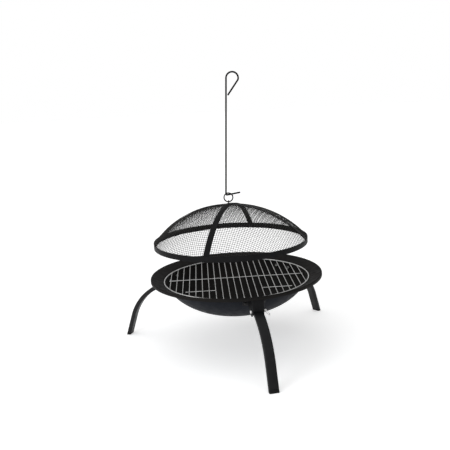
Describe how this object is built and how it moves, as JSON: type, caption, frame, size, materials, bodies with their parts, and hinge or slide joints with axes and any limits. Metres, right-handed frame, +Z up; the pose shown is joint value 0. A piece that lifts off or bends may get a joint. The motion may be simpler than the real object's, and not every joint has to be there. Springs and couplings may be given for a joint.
{
  "type": "fire pit",
  "caption": "Round steel fire pit on folding bent legs, with a wire cooking grate and a domed mesh lid lifted by its ring on a hooked poker.",
  "frame": {"origin": "middle of the footprint on the floor", "axes": "+Z up, -Y along the front leg"},
  "size_m": [0.7322, 0.6986, 0.8927],
  "materials": {
    "bowl_paint": "charcoal heat-resistant paint, semi-matt",
    "grate_chrome": "chromed wire, lightly dulled",
    "bracket_paint": "black powder coat, satin",
    "bolt_black": "black oxide",
    "zinc_steel": "zinc plate",
    "bright_steel": "bright steel",
    "leg_paint": "black powder coat, satin",
    "cap_plastic": "moulded black plastic",
    "lid_paint": "black paint, satin",
    "lid_mesh": "fine woven wire",
    "wire_paint": "black coated wire"
  },
  "bodies": {
    "root": {"fire_bowl": "bowl_paint", "bracket_1": "bracket_paint", "bracket_2": "bracket_paint", "bracket_3": "bracket_paint", "bracket_bolt_1_left": "bolt_black", "bracket_bolt_1_right": "bolt_black", "bracket_bolt_2_left": "bolt_black", "bracket_bolt_2_right": "bolt_black", "bracket_bolt_3_left": "bolt_black", "bracket_bolt_3_right": "bolt_black", "bracket_nut_1_left": "zinc_steel", "bracket_nut_1_right": "zinc_steel", "bracket_nut_2_left": "zinc_steel", "bracket_nut_2_right": "zinc_steel", "bracket_nut_3_left": "zinc_steel", "bracket_nut_3_right": "zinc_steel", "clevis_pin_1": "bright_steel", "clevis_pin_2": "bright_steel", "clevis_pin_3": "bright_steel"},
    "grate": {"cooking_grate": "grate_chrome"},
    "lid": {"lid_band": "lid_paint", "mesh_dome": "lid_mesh", "lid_strap_lower": "lid_paint", "lid_strap_upper": "lid_paint", "eye_bolt": "wire_paint", "eye_washer": "zinc_steel", "eye_nut": "zinc_steel"},
    "lift_ring": {"lift_ring": "wire_paint"},
    "poker": {"poker": "wire_paint"},
    "leg_1": {"leg_tube_1": "leg_paint", "foot_cap_1": "cap_plastic"},
    "split_ring_1": {"split_ring_1": "bright_steel"},
    "leg_2": {"leg_tube_2": "leg_paint", "foot_cap_2": "cap_plastic"},
    "split_ring_2": {"split_ring_2": "bright_steel"},
    "leg_3": {"leg_tube_3": "leg_paint", "foot_cap_3": "cap_plastic"},
    "split_ring_3": {"split_ring_3": "bright_steel"}
  },
  "joints": [
    {"name": "leg_fold_1", "type": "hinge", "parent": "root", "child": "leg_1", "pos_m": [0, -0.1916, 0.1907], "axis": [1, 0, 0], "range_deg": [0, 104]},
    {"name": "leg_fold_2", "type": "hinge", "parent": "root", "child": "leg_2", "pos_m": [0.22343, 0.1954, 0.1907], "axis": [-0.5, 0.866, 0], "range_deg": [0, 104]},
    {"name": "leg_fold_3", "type": "hinge", "parent": "root", "child": "leg_3", "pos_m": [-0.22343, 0.1954, 0.1907], "axis": [-0.5, -0.866, 0], "range_deg": [0, 104]},
    {"name": "split_ring_swing_1", "type": "hinge", "parent": "root", "child": "split_ring_1", "pos_m": [0.023, -0.1916, 0.1907], "axis": [0, 0.9511, 0.309], "range_deg": [-45, 40]},
    {"name": "split_ring_swing_2", "type": "hinge", "parent": "root", "child": "split_ring_2", "pos_m": [0.21194, 0.21532, 0.1907], "axis": [-0.8236, -0.4755, 0.309], "range_deg": [-45, 40]},
    {"name": "split_ring_swing_3", "type": "hinge", "parent": "root", "child": "split_ring_3", "pos_m": [-0.23494, 0.17548, 0.1907], "axis": [0.8236, -0.4755, 0.309], "range_deg": [-45, 40]},
    {"name": "grate_lift", "type": "slide", "parent": "root", "child": "grate", "axis": [0, 0, 1], "range_m": [0, 0.085]},
    {"name": "lid_lift", "type": "slide", "parent": "root", "child": "lid", "axis": [-0.1091, 0.0245, 0.9937], "range_m": [-0.1121, 0.35]},
    {"name": "lift_ring_swing", "type": "hinge", "parent": "lid", "child": "lift_ring", "pos_m": [-0.01229, 0.06916, 0.4797], "axis": [0.9757, -0.2192, 0], "range_deg": [-40, 80]},
    {"name": "poker_swing", "type": "hinge", "parent": "lift_ring", "child": "poker", "pos_m": [-0.01229, 0.06916, 0.50285], "axis": [-0.9229, -0.3833, -0.0361], "range_deg": [-90, 8]}
  ]
}
